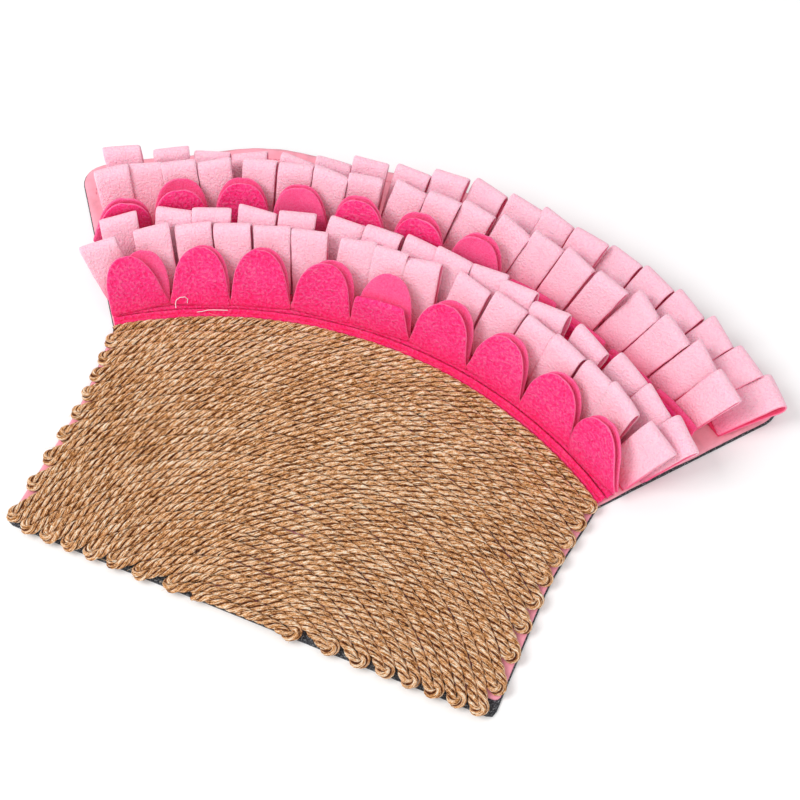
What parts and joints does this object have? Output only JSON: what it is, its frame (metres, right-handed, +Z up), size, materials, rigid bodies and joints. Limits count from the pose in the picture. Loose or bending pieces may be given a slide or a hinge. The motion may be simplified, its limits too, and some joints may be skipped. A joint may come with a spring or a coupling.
{
  "type": "snuffle mat",
  "caption": "Fan-shaped pet snuffle mat: a flat jute rope scratching field on a two-layer cloth base, with standing rows of fleece petals and folded loops that hide treats.",
  "frame": {"origin": "on the underside of the mat, in the middle of its width and of its depth", "axes": "+Z up from the floor, +Y from the rope field to the fleece rows, +X to the right seen from the rope field"},
  "size_m": [0.5147, 0.3599, 0.0513],
  "materials": {
    "jute_rope": "coarse three-strand twisted jute",
    "non_slip_cloth": "dark grey speckled non-slip cloth",
    "pink_cloth": "matt woven cloth with a stitched turned edge",
    "fuchsia_fleece": "short-pile brushed fleece",
    "light_pink_fleece": "short-pile brushed fleece"
  },
  "bodies": {
    "root": {"base_under": "non_slip_cloth", "base_top": "pink_cloth", "rope_field": "jute_rope", "petals_front": "fuchsia_fleece", "petals_back": "fuchsia_fleece", "loops_1": "light_pink_fleece", "loops_2": "light_pink_fleece", "loops_3": "light_pink_fleece", "loops_4": "light_pink_fleece"}
  },
  "joints": []
}
